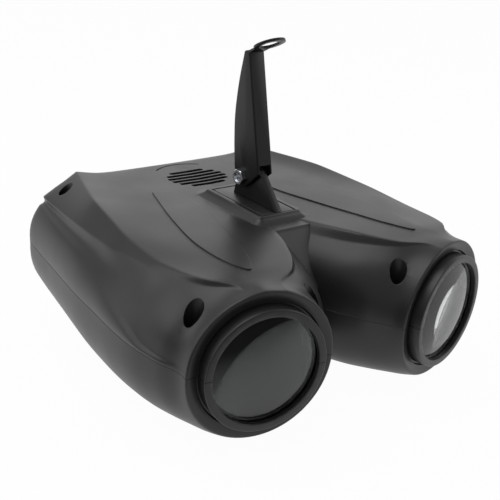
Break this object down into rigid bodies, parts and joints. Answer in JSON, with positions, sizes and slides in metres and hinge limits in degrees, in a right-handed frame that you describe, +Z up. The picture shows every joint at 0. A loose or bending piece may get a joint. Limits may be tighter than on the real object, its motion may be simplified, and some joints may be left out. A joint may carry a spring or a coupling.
{
  "type": "led pattern stage light",
  "caption": "Twin-head LED pattern stage light with a moulded housing, lenses, pivoting hanging arm, cooling fan and rear control panel.",
  "frame": {"origin": "on the ground, at the middle of the light's length and width", "axes": "+Z up, lenses towards -Y, rear panel towards +Y"},
  "size_m": [0.3124, 0.2958, 0.2626],
  "materials": {
    "housing_plastic": "dark grey moulded plastic, lightly textured",
    "black_plastic": "black moulded plastic",
    "black_paint": "satin black powder coat on sheet steel",
    "zinc": "bright zinc plating",
    "black_steel": "blackened steel",
    "lens_glass": "coated optical lens, polished",
    "clear_lens": "clear moulded lens plate",
    "led_board": "white circuit board with light emitters",
    "circuit_board": "green circuit board with components",
    "rubber": "moulded rubber",
    "red_light": "red tinted lens of the indicator"
  },
  "bodies": {
    "housing": {"upper_shell": "housing_plastic", "lower_shell": "housing_plastic", "lens_left": "lens_glass", "lens_right": "lens_glass", "lens_ring_left": "black_plastic", "lens_ring_right": "black_plastic", "lens_array_left": "clear_lens", "lens_array_right": "clear_lens", "led_board_left": "led_board", "led_board_right": "led_board", "pivot_bracket": "black_paint", "pivot_bolt": "zinc", "pivot_nut": "zinc", "pivot_spacer_left": "black_plastic", "pivot_spacer_right": "black_plastic", "bracket_nut_1": "zinc", "bracket_nut_2": "zinc", "control_board": "circuit_board", "power_board": "circuit_board", "fan_frame": "black_plastic", "rear_panel": "black_paint", "mains_inlet": "black_plastic", "fuse_holder": "black_plastic", "power_switch": "black_plastic", "mode_switch": "black_plastic", "sensitivity_dial": "zinc", "microphone": "black_plastic", "status_led": "red_light", "foot_front_left": "rubber", "foot_front_right": "rubber", "foot_rear_left": "rubber", "foot_rear_right": "rubber", "housing_screw_1": "black_steel", "housing_screw_2": "black_steel", "housing_screw_3": "black_steel", "housing_screw_4": "black_steel", "housing_screw_5": "black_steel", "housing_screw_6": "black_steel", "panel_screw_1": "black_steel", "panel_screw_2": "black_steel", "panel_screw_3": "black_steel", "panel_screw_4": "black_steel", "board_bracket_left": "black_plastic", "board_bracket_right": "black_plastic", "board_standoff_1": "black_plastic", "board_standoff_2": "black_plastic", "board_standoff_3": "black_plastic", "board_standoff_4": "black_plastic", "board_standoff_5": "black_plastic", "board_standoff_6": "black_plastic", "board_standoff_7": "black_plastic", "board_standoff_8": "black_plastic"},
    "arm": {"hanger_arm": "black_paint"},
    "knob": {"sensitivity_knob": "black_plastic"},
    "rocker": {"power_rocker": "black_plastic"},
    "slider": {"mode_slider": "black_plastic"},
    "rotor": {"fan_rotor": "black_plastic"}
  },
  "joints": [
    {"name": "arm_tilt", "type": "hinge", "parent": "housing", "child": "arm", "pos_m": [0, 0.01149, 0.14712], "axis": [1, 0, 0], "range_deg": [-70, 25]},
    {"name": "knob_turn", "type": "hinge", "parent": "housing", "child": "knob", "pos_m": [0.047, 0.13489, 0.06712], "axis": [0, 1, 0], "range_deg": [0, 270]},
    {"name": "rocker_tilt", "type": "hinge", "parent": "housing", "child": "rocker", "pos_m": [0.006, 0.13039, 0.06712], "axis": [1, 0, 0], "range_deg": [-16, 0]},
    {"name": "slider_travel", "type": "slide", "parent": "housing", "child": "slider", "axis": [1, 0, 0], "range_m": [0, 0.004]},
    {"name": "rotor_spin", "type": "hinge", "parent": "housing", "child": "rotor", "pos_m": [0, 0.07949, 0.11812], "axis": [0, 0, 1], "continuous": true}
  ]
}
